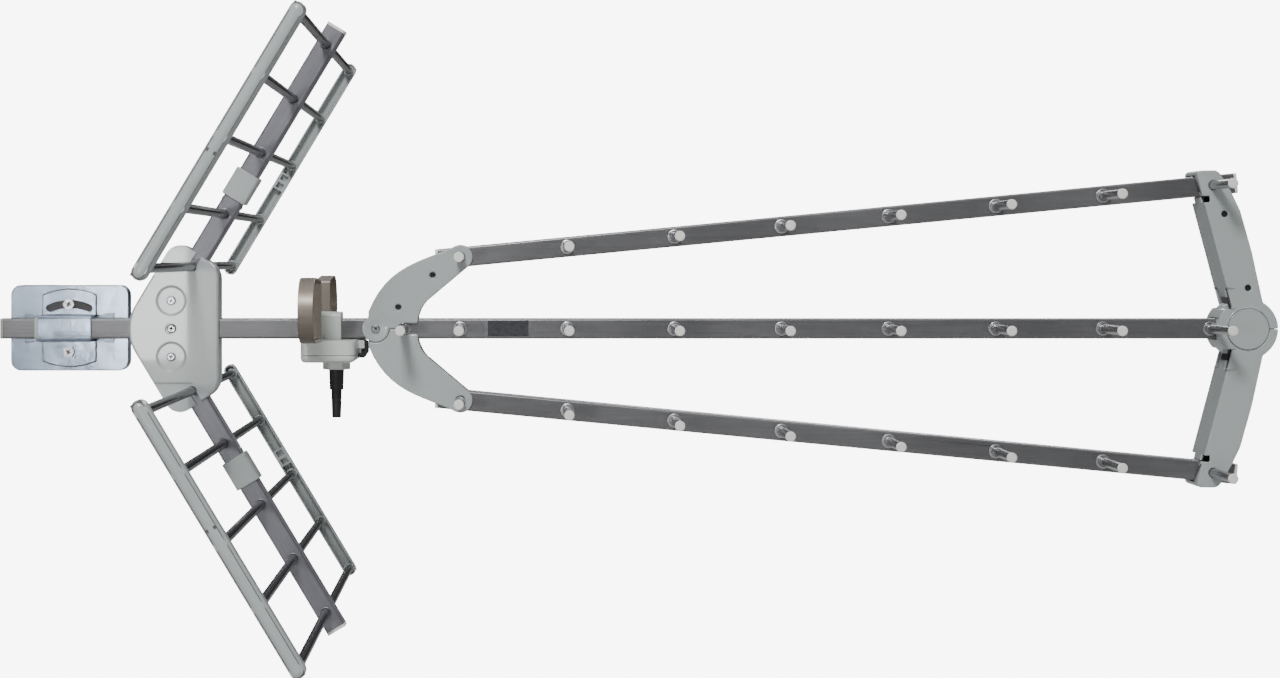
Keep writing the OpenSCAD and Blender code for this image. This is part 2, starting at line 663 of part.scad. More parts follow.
// Corner circles of the front spreader's arm: its foot, its bowed back and its head
front_corners = [[front_x, front_foot_r, front_foot_r],
    [front_x + front_foot_r / 3, front_foot_r, front_foot_r],
    [front_x - front_edge_r / 2, 0.52 * front_rise, front_edge_r],
    [front_x - 1.75 * front_edge_r, 0.8 * front_rise, front_edge_r],
    [front_x - 2.75 * front_edge_r, 0.93 * front_rise, front_edge_r],
    [last_x, front_rise + front_edge_r * 0.67, front_edge_r],
    [last_x - 1.3 * front_edge_r, front_rise + 1.15 * front_edge_r, front_edge_r / 2]];

// Moulding of the front spreader's upper arm, hollow above its boss
module front_spreader() difference() {
    union() {
        xz(front_half, front_depth) difference() {
            union() {
                polygon(outline(front_corners));
                translate([front_x, 0]) circle(front_boss_r);
            }
            translate([front_x - 100, seam / 2 - 100]) square([200, 100]);
        }
        y_bar(front_x, 0, front_disc_r, -front_half - front_disc_rise, -front_half + disc_t);
    }
    xz(front_half - front_wall, front_depth - 2 * front_wall) difference() {
        polygon(outline(front_corners, front_wall));
        translate([front_x, 0]) circle(front_boss_r);
    }
    // Sockets of the main and the outer boom
    translate([front_x - 60, -boom_socket, -boom_socket])
        cube([60 + boom_nose + push_fit, 2 * boom_socket, 2 * boom_socket]);
    on_outer(1) translate([outer_last - 40, -boom_socket, -boom_socket])
        cube([80, 2 * boom_socket, 2 * boom_socket]);
    on_outer(1) y_bar(outer_last, 0, rod_hole_r, -front_half - cut, front_half + cut);
    // Round recess for the other arm's disc, the pin and the notch of the last middle director
    y_bar(front_x, 0, front_disc_r + seam, front_half - disc_t - push_fit, front_half + cut);
    y_bar(front_x, 0, screw_d / 2 + push_fit, -front_half + disc_t, front_half);
    y_bar(last_x, 0, rod_hole_r + 0.6, -front_half - cut, front_half + cut);
    // Two holes through the front face
    for (p = [[-0.675, 0.8], [0.006, 0.285]])
        y_bar(front_x + p[0] * front_reach, p[1] * front_rise, peg_hole_r,
            -front_half - cut, -front_half + front_wall + cut);
    // Slots in the wall beside the booms
    for (s = [-1, 1]) translate([0, s * (boom_half + slot_w / 2) - slot_w / 2, 0]) {
        translate([front_x - 1.3 * front_reach, 0, slot_w * 2])
            cube([front_reach, slot_w, slot_w * 2]);
        translate([last_x - 0.6 * front_reach, 0, front_rise - boom_w + boom_half / 3])
            cube([0.5 * front_reach, slot_w, boom_half * 0.6]);
    }
}

module front_spreader_upper() color("#b0b6b2") in_boom_plane() front_spreader();
module front_spreader_lower() color("#b0b6b2") in_boom_plane() rotate([180, 0, 0]) front_spreader();
module front_spreader_pin() color("#8f9396") in_boom_plane()
    y_bar(front_x, 0, screw_d / 2, -front_half + disc_t, front_half - disc_t);

loop_mid = loop_floor + loop_r;
loop_corners = [[loop_in + 4, loop_floor + 4, 4], [loop_out - loop_r, loop_mid, loop_r],
    [loop_in + 4, loop_floor + loop_h - loop_drop - 4, 4]];
rivet_y = loop_in + 4;

module loop_rivet() translate([dipole_x, rivet_y, loop_floor + dipole_t]) {
    translate([0, 0, -dipole_t - 2]) cylinder(h = dipole_t + 2, r = 1.2);
    cylinder(h = 0.5, r = 2);
    translate([0, 0, 0.5]) cylinder(h = 0.5, r1 = 2, r2 = 1.2);
}

module dipole_loop() difference() {
    translate([dipole_x - dipole_w / 2, 0, 0]) rotate([90, 0, 90]) linear_extrude(dipole_w)
        difference() {
            polygon(outline(loop_corners));
            polygon(outline(loop_corners, dipole_t));
        }
    translate([dipole_x, rivet_y, loop_floor - cut]) cylinder(h = dipole_t + 2 * cut, r = 1.2 + push_fit);
    translate([dipole_x, rivet_y, loop_floor + dipole_t]) cylinder(h = 2, r = 2 + push_fit);
}

module dipole_near() color("#6e665c") in_boom_plane() mirror([0, 1, 0]) dipole_loop();
module dipole_far() color("#6e665c") in_boom_plane() dipole_loop();
module dipole_rivets() color("#8f9396") in_boom_plane()
    for (s = [-1, 1]) mirror([0, s < 0 ? 1 : 0, 0]) loop_rivet();

box_corners_list = box_corners(box_l, box_w, 6);
box_end = box_x + box_l / 2;

module dipole_box() color("#a9afab") in_boom_plane() {
    difference() {
        translate([box_x, 0, lid_top]) linear_extrude(loop_floor - lid_top)
            polygon(outline(box_corners_list));
        translate([box_x, 0, lid_top - cut]) linear_extrude(loop_floor - lid_top - 2 + cut)
            polygon(outline(box_corners_list, 2));
        for (s = [-1, 1]) translate([dipole_x, s * rivet_y, loop_floor - 3])
            cylinder(h = 4, r = 1.2 + push_fit);
    }
    // Lugs that carry the latch
    for (s = [-1, 1]) translate([box_end - 1, s * (latch_w / 2 + 2) - 1.5, loop_floor - 8])
        cube([latch_l - 2, 3, 7]);
}

module box_lid() color("#a9afab") in_boom_plane() translate([box_x, 0, box_floor]) difference() {
    hull() for (step = [0 : 3]) translate([0, 0, 4 * (1 - cos(30 * step))])
        linear_extrude(lid_h - 4 * (1 - cos(30 * step)) - 0.3)
            polygon(outline(box_corners_list, 4 * (1 - sin(30 * step))));
    translate([0, 0, 2]) linear_extrude(lid_h) polygon(outline(box_corners_list, 4));
    translate([4, 0, -cut]) cylinder(h = 2 * cut + 2, r = boot_d / 2 - 2 + push_fit);
}

module box_latch() color("#2b2b2d") in_boom_plane() xz(latch_w / 2, latch_w) polygon([
    [box_end, loop_floor], [box_end + 0.7 * latch_l, loop_floor], [box_end + latch_l, loop_floor - 3],
    [box_end + latch_l, lid_top + 1], [box_end + 0.6 * latch_l, lid_top - 4],
    [box_end, lid_top - 4], [box_end, lid_top], [box_end + 0.3 * latch_l, lid_top],
    [box_end + 0.3 * latch_l, loop_floor - 4], [box_end, loop_floor - 4]]);

module boom_clip() color("#a9afab") in_boom_plane() difference() {
    translate([clip_x - clip_l / 2, 0, 0]) rotate([90, 0, 90]) linear_extrude(clip_l)
        polygon(outline([[boom_half + clip_side_t - 2, loop_floor + 0.5, 0.5],
            [boom_half + clip_side_t - 4, boom_half + clip_t - 4, 4],
            [-boom_half - clip_side_t + 4, boom_half + clip_t - 4, 4],
            [-boom_half - clip_side_t + 2, loop_floor + 0.5, 0.5]]));
    square_bar(clip_x - clip_l, clip_x + clip_l, 2 * boom_socket, boom_corner_r);
}

module cable_nut() color("#a9afab") in_boom_plane() translate([box_x + 4, 0, gland_floor]) difference() {
    cylinder(h = gland_h, r = gland_d / 2, $fn = 6);
    translate([0, 0, -cut]) cylinder(h = gland_h + 2 * cut, r = boot_d / 2 - 2 + push_fit);
}

module cable_boot() color("#2b2b2d") in_boom_plane() translate([box_x + 4, 0, 0]) difference() {
    union() {
        translate([0, 0, gland_floor]) cylinder(h = gland_h + 2, r = boot_d / 2 - 2);
        translate([0, 0, gland_floor - boot_upper_l])
            cylinder(h = boot_upper_l, r1 = boot_d / 2 - 0.7, r2 = boot_d / 2);
        translate([0, 0, boot_floor])
            cylinder(h = boot_lower_l, r1 = boot_tip_d / 2, r2 = boot_tip_d / 2 + 0.75);
    }
    translate([0, 0, boot_floor - cut]) cylinder(h = box_floor - boot_floor + 2 + 2 * cut, r = cable_d / 2);
}

// Square ring round the boom
module boom_ring(x0, x1, inner, t, r) difference() {
    square_bar(x0, x1, 2 * (inner + t), r + t);
    square_bar(x0 - cut, x1 + cut, 2 * inner, r);
}

module boom_liner() color("#b0b6b2") in_boom_plane()
    boom_ring(-saddle_l / 2 - liner_show, saddle_l / 2, boom_socket, liner_t, boom_corner_r);

saddle_in = liner_half + push_fit;
saddle_out = saddle_in + saddle_t;
flange_front = tilt_face - saddle_t;
// Half the width of the slot round the upper tilt screw
slot_fit = tilt_d / 2 + seam;

// Flange of the saddle above the boom, its end drawn about the screw on the other side
module saddle_flange(hole) xz(tilt_face, saddle_t) difference() {
    intersection() {
        translate([-saddle_l / 2, saddle_in]) square([saddle_l, saddle_h]);
        translate([0, -tilt_z]) circle(saddle_h + tilt_z, $fn = 96);
    }
    if (hole) translate([0, tilt_z]) circle(tilt_d / 2 + pivot_fit);
    else polygon(concat(
        arc([0, -tilt_z], 2 * tilt_z + slot_fit, 90 - tilt_angle, 90 + tilt_angle, 16),
        arc([0, -tilt_z] + 2 * tilt_z * dir(90 + tilt_angle), slot_fit,
            90 + tilt_angle, 270 + tilt_angle, 8),
        [for (p = [16 : -1 : 0]) [0, -tilt_z]
            + (2 * tilt_z - slot_fit) * dir(90 - tilt_angle + p * tilt_angle / 8)],
        arc([0, -tilt_z] + 2 * tilt_z * dir(90 - tilt_angle), slot_fit,
            270 - tilt_angle, 90 - tilt_angle, 8)));
}
module boom_saddle() color("#8d9298") in_boom_plane() {
    translate([-saddle_l / 2, 0, 0]) rotate([90, 0, 90]) linear_extrude(saddle_l) difference() {
        translate([-saddle_out, -saddle_out]) square([saddle_out + tilt_face, 2 * saddle_out]);
        translate([-saddle_in, -saddle_in]) square([saddle_in + tilt_face + cut, 2 * saddle_in]);
        for (s = [-1, 1]) difference() {
            translate([-saddle_out - cut, s * (saddle_out - 1.5) - 1.5 - cut / 2])
                square([3 + cut, 3 + cut]);
            translate([-saddle_out + 3, s * (saddle_out - 3)]) circle(3);
            translate([-saddle_out - 2 * cut, s * (saddle_out - 3) - (s > 0 ? 10 : 0)]) square([10, 10]);
        }
    }
    saddle_flange(false);
    mirror([0, 0, 1]) saddle_flange(true);
}

module boom_cradle() color("#8d9298") in_boom_plane() xz(tilt_face, cradle_t) polygon([
    for (q = [[1, 1], [-1, 1], [-1, -1], [1, -1]], k = [0 : 2])
        let (j = q[0] * q[1] > 0 ? k : 2 - k)
        [q[0] * [cradle_l / 2, saddle_l / 2 + 8, saddle_l / 2 + 0.5][j],
            q[1] * [cradle_h / 2, cradle_h / 2 - 0.6, saddle_in - 0.1][j]]]);

plate_corners = box_corners(plate_w, plate_h, plate_corner_r);

module front_plate() color("#8b9299") in_boom_plane() difference() {
    xz(wing_front, wing_front - plate_face) polygon(outline(plate_corners));
    xz(wing_front + cut, wing_front - seat_face + cut) polygon(outline(plate_corners, plate_t));
    for (z = [-tilt_z, tilt_z]) y_bar(0, z, tilt_d / 2 + push_fit, plate_face - cut, seat_face + cut);
    // Room for the seat's trough between the rims
    translate([0, boom_offset, -plate_h]) linear_extrude(2 * plate_h) intersection() {
        circle(mast_r + seat_t + push_fit);
        translate([-2 * mast_r, seat_face - boom_offset]) square(4 * mast_r);
    }
}

// Trough and wings that hold the mast, seen along it, with the trough towards -Y
module mast_profile(half) {
    difference() {
        circle(mast_r + seat_t);
        circle(mast_r);
        translate([-2 * mast_r, -mast_r * cos(wrap_angle)]) square(4 * mast_r);
    }
    for (s = [-1, 1])
        translate([s > 0 ? mast_r * sin(wrap_angle) : -half, -mast_r * cos(wrap_angle) - seat_t])
            square([half - mast_r * sin(wrap_angle), seat_t]);
}

module mast_seat() color("#8b9299") in_boom_plane() difference() {
    intersection() {
        translate([0, boom_offset, -plate_h / 2]) linear_extrude(plate_h) mast_profile(plate_w / 2);
        xz(boom_offset, boom_offset) polygon(outline(plate_corners));
    }
    for (z = [-tilt_z, tilt_z]) y_bar(0, z, tilt_d / 2 + push_fit, seat_face - cut, boom_offset);
    for (x = [-bolt_x, bolt_x]) y_bar(x, 0, bolt_d / 2 + bolt_fit, wing_front - cut, wing_back + cut);
}

module mast_jaw() color("#8b9299") difference() {
    mirror([0, 1, 0]) translate([0, 0, -jaw_h / 2]) linear_extrude(jaw_h) mast_profile(jaw_w / 2);
    for (x = [-bolt_x, bolt_x]) y_bar(x, 0, bolt_d / 2 + bolt_fit, 0, mast_d);
}

jaw_back = jaw_front + seat_t;
washer_t = 1.6;
bolt_head_t = 4.5;
nut_t = 6.5;
nut_r = 7.5;

module clamp_bolts() color("#9aa0a5") in_boom_plane() for (x = [-bolt_x, bolt_x]) {
    y_bar(x, 0, bolt_d / 2, wing_front, jaw_back + washer_t + nut_t + 5);
    translate([x, wing_front, 0]) rotate([90, 0, 0]) cylinder(h = bolt_head_t, r = nut_r, $fn = 6);
}

module clamp_nuts() color("#9aa0a5") in_boom_plane() for (x = [-bolt_x, bolt_x]) difference() {
    union() {
        y_bar(x, 0, bolt_d, jaw_back, jaw_back + washer_t);
        translate([x, jaw_back + washer_t, 0]) rotate([-90, 0, 0]) cylinder(h = nut_t, r = nut_r, $fn = 6);
    }
    y_bar(x, 0, bolt_d / 2 + push_fit, jaw_back - cut, jaw_back + washer_t + nut_t + cut);
}

module tilt_screws() color("#9aa0a5") in_boom_plane() for (z = [-tilt_z, tilt_z]) {
    y_bar(0, z, tilt_d / 2, flange_front - tilt_gap, seat_face + seat_t - tilt_gap);
    translate([0, flange_front - tilt_gap, z]) rotate([90, 0, 0])
        cylinder(h = tilt_d / 2, r = 0.87 * tilt_d, $fn = 6);
}

main_boom();
outer_boom(1);  // upper_boom
outer_boom(-1);  // lower_boom
main_boom_caps();
outer_boom_caps(1);  // upper_boom_caps
outer_boom_caps(-1);  // lower_boom_caps
main_directors();
outer_directors(1);  // upper_directors
outer_directors(-1);  // lower_directors
main_director_caps();
outer_director_caps(1);  // upper_director_caps
outer_director_caps(-1);  // lower_director_caps
hub_front();
hub_rear();
hub_screws();
arm_tube(1, arm_root, sleeve_at);  // upper_arm_inner
arm_tube(1, sleeve_at, arm_l);  // upper_arm_outer
arm_tube(-1, arm_root, sleeve_at);  // lower_arm_inner
arm_tube(-1, sleeve_at, arm_l);  // lower_arm_outer
arm_sleeve(1);  // upper_arm_sleeve
arm_sleeve(-1);  // lower_arm_sleeve
arm_caps();
arm_rivets();
arm_rod_set(1);  // upper_rods
arm_rod_set(-1);  // lower_rods
strip_section(1, -1, -1);  // upper_near_strip_inner
strip_section(1, -1, 1);  // upper_near_strip_outer
strip_section(1, 1, -1);  // upper_far_strip_inner
strip_section(1, 1, 1);  // upper_far_strip_outer
strip_section(-1, -1, -1);  // lower_near_strip_inner
strip_section(-1, -1, 1);  // lower_near_strip_outer
strip_section(-1, 1, -1);  // lower_far_strip_inner
strip_section(-1, 1, 1);  // lower_far_strip_outer
rear_spreader_upper();
rear_spreader_lower();
rear_spreader_screw();
front_spreader_upper();
front_spreader_lower();
front_spreader_pin();
dipole_near();
dipole_far();
dipole_rivets();
dipole_box();
box_lid();
box_latch();
boom_clip();
cable_nut();
cable_boot();
boom_saddle();
boom_liner();
boom_cradle();
front_plate();
mast_seat();
mast_jaw();
clamp_bolts();
clamp_nuts();
tilt_screws();
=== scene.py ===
# %% [markdown]
# The looks of a UHF television aerial. Its shape comes from the construction model, which is
# loaded first and never moved. Every later cell adds a finish or a small surface detail to it.

# %% Load the construction model
import json
import math

import bmesh
import bpy
from mathutils import Matrix, Vector


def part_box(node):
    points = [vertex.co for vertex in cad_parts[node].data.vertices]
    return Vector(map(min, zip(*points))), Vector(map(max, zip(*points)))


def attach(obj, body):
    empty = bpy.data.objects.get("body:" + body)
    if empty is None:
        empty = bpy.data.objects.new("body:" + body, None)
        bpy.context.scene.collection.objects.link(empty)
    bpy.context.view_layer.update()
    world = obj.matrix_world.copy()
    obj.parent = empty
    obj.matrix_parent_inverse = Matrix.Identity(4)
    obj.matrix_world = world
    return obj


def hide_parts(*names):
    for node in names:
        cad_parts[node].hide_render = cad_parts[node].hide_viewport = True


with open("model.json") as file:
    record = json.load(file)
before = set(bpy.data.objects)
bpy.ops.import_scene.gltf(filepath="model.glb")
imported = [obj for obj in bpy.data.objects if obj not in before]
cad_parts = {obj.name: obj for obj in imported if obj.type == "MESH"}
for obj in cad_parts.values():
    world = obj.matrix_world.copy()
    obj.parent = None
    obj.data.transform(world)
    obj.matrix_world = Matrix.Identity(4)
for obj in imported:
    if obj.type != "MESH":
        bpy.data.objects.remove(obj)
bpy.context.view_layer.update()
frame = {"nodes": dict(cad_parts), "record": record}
NODES = frame["nodes"]
SLOT_OF = {s["node"]: s["material_slot"] for s in frame["record"]["subparts"]}
ROOT_NODES = {"front_plate", "mast_seat", "mast_jaw", "clamp_bolts", "clamp_nuts", "tilt_screws"}
MM = 0.001


def body_of_node(node):
    return "mast_clamp" if node in ROOT_NODES else "antenna"


print("loaded", len(NODES), "nodes")

# %% [markdown]
# Some facts about the aerial's layout are needed by several pieces. The booms' middle plane and
# width are measured from the model. The places of the directors and rods, the rise of the outer
# booms and the angle of the reflector arms repeat the model's own driving sizes.

# %% Measure the booms and arms
main_low, main_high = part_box("main_boom")
BOOM_Y = (main_low.y + main_high.y) / 2
BOOM_HALF = (main_high.y - main_low.y) / 2
STATION_X, PITCH, STATIONS = 351.5 * MM, 95.2 * MM, 8
REAR_DIRECTOR_X = 301 * MM
REAR_RISE, FRONT_RISE = 63.6 * MM, 127.2 * MM
SPLAY = math.atan((FRONT_RISE - REAR_RISE) / ((STATIONS - 1) * PITCH))
ARM_X, ARM_Z, ARM_ANGLE = 95.2 * MM, 24.9 * MM, math.radians(59)
ROD_PLACES = [35.2 * MM, 89.9 * MM, 153.3 * MM, 209.5 * MM, 265.7 * MM]
SIDES = (("upper", 1), ("lower", -1))


def on_arm(side):
    """Where a reflector arm starts and how it is turned. X runs out along the arm."""
    turn = Matrix.Rotation(-side * ARM_ANGLE, 4, "Y")
    return Matrix.Translation((ARM_X, BOOM_Y, side * ARM_Z)) @ turn


print("booms' middle plane at y =", round(BOOM_Y, 5), "half width", round(BOOM_HALF, 5))

# %% [markdown]
# Real surfaces are never one flat colour. Two effects are used by many finishes, so each is a
# node group that is built once. The first is the fine grain that rolling and drawing leave along
# a metal tube: a noise stretched fiftyfold in one direction. The second is a slow mottle, as
# moulded plastic and zinc plating have. Noise textures were chosen over pictures because they
# hold up at any distance.


# %% Node groups for grain and mottle
def new_group(name, inputs, outputs):
    tree = bpy.data.node_groups.new(name, "ShaderNodeTree")
    for label, kind, value in inputs:
        socket = tree.interface.new_socket(label, in_out="INPUT", socket_type=kind)
        if value is not None:
            socket.default_value = value
    for label, kind in outputs:
        tree.interface.new_socket(label, in_out="OUTPUT", socket_type=kind)
    return tree, tree.nodes.new("NodeGroupInput"), tree.nodes.new("NodeGroupOutput")


def add(tree, kind, **settings):
    node = tree.nodes.new(kind)
    for key, value in settings.items():
        setattr(node, key, value)
    return node


def give_out(tree, start, noise, end):
    """Spreads a noise evenly round one, as far as Strength says, and passes it on as height."""
    spread = add(tree, "ShaderNodeMapRange")
    spread.inputs["From Min"].default_value = 0.3
    spread.inputs["From Max"].default_value = 0.7
    for operation, bound in (("SUBTRACT", "To Min"), ("ADD", "To Max")):
        offset = add(tree, "ShaderNodeMath", operation=operation)
        offset.inputs[0].default_value = 1.0
        tree.links.new(start.outputs["Strength"], offset.inputs[1])
        tree.links.new(offset.outputs[0], spread.inputs[bound])
    tree.links.new(noise.outputs["Fac"], spread.inputs["Value"])
    tree.links.new(spread.outputs["Result"], end.inputs["Shade"])
    tree.links.new(noise.outputs["Fac"], end.inputs["Height"])


def drawn_grain_group():
    tree, start, end = new_group(
        "drawn_grain",
        [("Vector", "NodeSocketVector", None), ("Fineness", "NodeSocketFloat", 900.0),
         ("Stretch", "NodeSocketFloat", 0.02), ("Strength", "NodeSocketFloat", 0.3)],
        [("Shade", "NodeSocketFloat"), ("Height", "NodeSocketFloat")])
    split = add(tree, "ShaderNodeSeparateXYZ")
    squeeze = add(tree, "ShaderNodeMath", operation="MULTIPLY")
    join = add(tree, "ShaderNodeCombineXYZ")
    noise = add(tree, "ShaderNodeTexNoise")
    noise.inputs["Detail"].default_value = 3.0
    link = tree.links.new
    link(start.outputs["Vector"], split.inputs[0])
    link(split.outputs[0], squeeze.inputs[0])
    link(start.outputs["Stretch"], squeeze.inputs[1])
    link(squeeze.outputs[0], join.inputs[0])
    link(split.outputs[1], join.inputs[1])
    link(split.outputs[2], join.inputs[2])
    link(join.outputs[0], noise.inputs["Vector"])
    link(start.outputs["Fineness"], noise.inputs["Scale"])
    give_out(tree, start, noise, end)
    return tree


def mottle_group():
    tree, start, end = new_group(
        "slow_mottle",
        [("Vector", "NodeSocketVector", None), ("Scale", "NodeSocketFloat", 30.0),
         ("Strength", "NodeSocketFloat", 0.1)],
        [("Shade", "NodeSocketFloat"), ("Height", "NodeSocketFloat")])
    noise = add(tree, "ShaderNodeTexNoise")
    noise.inputs["Detail"].default_value = 6.0
    link = tree.links.new
    link(start.outputs["Vector"], noise.inputs["Vector"])
    link(start.outputs["Scale"], noise.inputs["Scale"])
    give_out(tree, start, noise, end)
    return tree


GRAIN = drawn_grain_group()
MOTTLE = mottle_group()
print("groups:", GRAIN.name, MOTTLE.name)

# %% [markdown]
# Each finish is one Principled material. It multiplies its base colour by the mottle and by the
# grain, lets the same shade shift the roughness a little, and bumps the surface by a hair. The
# grain runs along X unless the finish is turned, as on the slanted reflector arms.


# %% Finish maker
def finish(name, colour, metallic, roughness, mottle=(30.0, 0.08), grain=None, turn=0.0,
           bump=0.05, coat=0.0):
    mat = bpy.data.materials.new(name)
    mat.use_nodes = True
    tree = mat.node_tree
    link = tree.links.new
    shader = tree.nodes["Principled BSDF"]
    shader.inputs["Metallic"].default_value = metallic
    shader.inputs["Coat Weight"].default_value = coat
    place = add(tree, "ShaderNodeTexCoord")
    turned = add(tree, "ShaderNodeMapping")
    turned.inputs["Rotation"].default_value = (0.0, turn, 0.0)
    link(place.outputs["Object"], turned.inputs["Vector"])
    slow = add(tree, "ShaderNodeGroup", node_tree=MOTTLE)
    slow.inputs["Scale"].default_value = mottle[0]
    slow.inputs["Strength"].default_value = mottle[1]
    link(turned.outputs[0], slow.inputs["Vector"])
    shade, height = slow.outputs["Shade"], slow.outputs["Height"]
    if grain:
        fine = add(tree, "ShaderNodeGroup", node_tree=GRAIN)
        fine.inputs["Fineness"].default_value = grain[0]
        fine.inputs["Strength"].default_value = grain[1]
        link(turned.outputs[0], fine.inputs["Vector"])
        both = add(tree, "ShaderNodeMath", operation="MULTIPLY")
        link(shade, both.inputs[0])
        link(fine.outputs["Shade"], both.inputs[1])
        shade, height = both.outputs[0], fine.outputs["Height"]
    tint = add(tree, "ShaderNodeVectorMath", operation="SCALE")
    tint.inputs[0].default_value = colour
    link(shade, tint.inputs["Scale"])
    link(tint.outputs[0], shader.inputs["Base Color"])
    rough = add(tree, "ShaderNodeMath", operation="MULTIPLY")
    rough.inputs[1].default_value = roughness
    link(shade, rough.inputs[0])
    link(rough.outputs[0], shader.inputs["Roughness"])
    relief = add(tree, "ShaderNodeBump")
    relief.inputs["Strength"].default_value = bump
    relief.inputs["Distance"].default_value = 0.0005
    link(height, relief.inputs["Height"])
    link(relief.outputs[0], shader.inputs["Normal"])
    return mat


FINISHES = {
    "boom_metal": finish("boom_metal", (0.175, 0.175, 0.18), 0.7, 0.36, (9, 0.10), (1500, 0.08)),
    "rod_metal": finish("rod_metal", (0.06, 0.06, 0.064), 1.0, 0.17, (25, 0.08), bump=0.01),
    "director_metal": finish("director_metal", (0.34, 0.34, 0.35), 1.0, 0.24, (25, 0.10)),
    "grey_plastic": finish("grey_plastic", (0.35, 0.38, 0.375), 0.0, 0.24, (14, 0.03), bump=0.02,
                           coat=0.3),
    # A lighter copy of grey_plastic: painted light for parts that lie in shade.
    "grey_plastic_painted_light": finish("grey_plastic_painted_light", (0.52, 0.55, 0.52), 0.0, 0.30, (14, 0.03), bump=0.02),
    # A darker copy of zinc_plate for the cradle: painted shade that sets its outline off the
    # plate.
    "zinc_painted_shade": finish("zinc_painted_shade", (0.20, 0.235, 0.28), 0.95, 0.28, (30, 0.16), bump=0.8),
    # Painted shade for the bottoms of the strips' channels.
    "channel_painted_shade": finish("channel_painted_shade", (0.075, 0.08, 0.075), 0.0, 0.5, (300, 0.25)),
    "cap_plastic": finish("cap_plastic", (0.72, 0.74, 0.68), 0.0, 0.40, (40, 0.03)),
    "tail_cap_plastic": finish("tail_cap_plastic", (0.30, 0.29, 0.26), 0.0, 0.5, (60, 0.08)),
    "screw_steel": finish("screw_steel", (0.42, 0.43, 0.45), 0.9, 0.25, (90, 0.12)),
    "zinc_plate": finish("zinc_plate", (0.245, 0.295, 0.365), 0.95, 0.21, (30, 0.16), bump=0.8),
    "dipole_metal": finish("dipole_metal", (0.22, 0.19, 0.16), 0.7, 0.46, (18, 0.08), (600, 0.06)),
    "black_plastic": finish("black_plastic", (0.018, 0.018, 0.020), 0.0, 0.35, (40, 0.05)),
    # Lighter than boom_metal: a painted highlight on the tubes' rolled rims.
    "rim_metal_highlight": finish("rim_metal_highlight", (0.50, 0.50, 0.52), 0.9, 0.30, (60, 0.10)),
    "boot_rubber": finish("boot_rubber", (0.016, 0.016, 0.018), 0.0, 0.5, (60, 0.10), bump=0.2),
}
ARM_FINISH = {
    label: finish(label + "_arm_metal", (0.19, 0.19, 0.21), 0.7, 0.38, (9, 0.10), (1500, 0.08),
                  turn=side * ARM_ANGLE)
    for label, side in SIDES
}
print("finishes:", len(FINISHES) + len(ARM_FINISH))

# %% [markdown]
# Every node of the model gets the finish of its slot, with a few exceptions. The reflector arms
# take their own turned finish, so that the grain follows the tube, and the directors take a
# lighter metal of their own. The feed box, its lid, the boom clip and the cable nut take a lighter
# copy of the grey plastic, which is painted light that lifts the shade on them. The cradle takes a
# darker copy of the zinc, which is painted shade.


# %% Paint the construction model
# These parts are of the same grey plastic as the hub; their lighter copy is painted light.
PAINTED_LIGHT_NODES = {"dipole_box", "box_lid", "boom_clip", "cable_nut"}


def finish_of(node):
    if SLOT_OF[node] == "arm_metal":
        return ARM_FINISH[node.split("_")[0]]
    if node.endswith("_directors"):
        return FINISHES["director_metal"]
    # The cradle is zinc like the plate; its darker copy is painted shade.
    if node == "boom_cradle":
        return FINISHES["zinc_painted_shade"]
    # Painted light: the lighter copy of the grey plastic.
    if node in PAINTED_LIGHT_NODES:
        return FINISHES["grey_plastic_painted_light"]
    return FINISHES[SLOT_OF[node]]


for name, obj in NODES.items():
    obj.data.materials.clear()
    obj.data.materials.append(finish_of(name))
print("painted", len(NODES), "nodes")

# %% [markdown]
# A mould or a press never leaves a knife edge. Where such an edge catches the light, a copy of
# the node takes its place: its triangles are merged into whole faces, and a narrow bevel rounds
# each sharp edge. The copy keeps the node's own place and body. The front spreader's slots run
# out through the edges of its faces in the model, so small lips close them first.


# %% Pieces with softened edges
LIP = [(1034.749, 18.0), (1040.0, 18.0), (1040.0, 36.0), (1029.977, 36.0)]
FACE_HALF, FACE_T = 17.5, 2.5
SHARP = math.radians(32)


def prism(shape, outline, side, y_from, y_to):
    """Adds a closed prism. Its outline is x and z in millimetres, drawn for the upper half."""
    rings = [[shape.verts.new((x * MM, y, side * z * MM)) for x, z in outline]
             for y in (y_from, y_to)]
    shape.faces.new(rings[0])
    shape.faces.new(rings[1])
    for k in range(len(outline)):
        after = (k + 1) % len(outline)
        shape.faces.new([rings[0][k], rings[0][after], rings[1][after], rings[1][k]])
    bmesh.ops.recalc_face_normals(shape, faces=shape.faces)


def joined_with_lips(node, side):
    """The front spreader's half with both faces carried on past its two slots."""
    shape = bmesh.new()
    for face in (-1, 1):
        prism(shape, LIP, side, BOOM_Y + face * FACE_HALF * MM,
              BOOM_Y + face * (FACE_HALF - FACE_T) * MM)
    lips = bpy.data.objects.new("lips", bpy.data.meshes.new("lips"))
    shape.to_mesh(lips.data)
    shape.free()
    whole = bpy.data.objects.new("whole", NODES[node].data.copy())
    for obj in (lips, whole):
        bpy.context.scene.collection.objects.link(obj)
    union = whole.modifiers.new("union", "BOOLEAN")
    union.operation = "UNION"
    union.solver = "EXACT"
    union.object = lips
    depsgraph = bpy.context.evaluated_depsgraph_get()
    mesh = bpy.data.meshes.new_from_object(whole.evaluated_get(depsgraph))
    bpy.data.objects.remove(lips)
    bpy.data.objects.remove(whole)
    return mesh


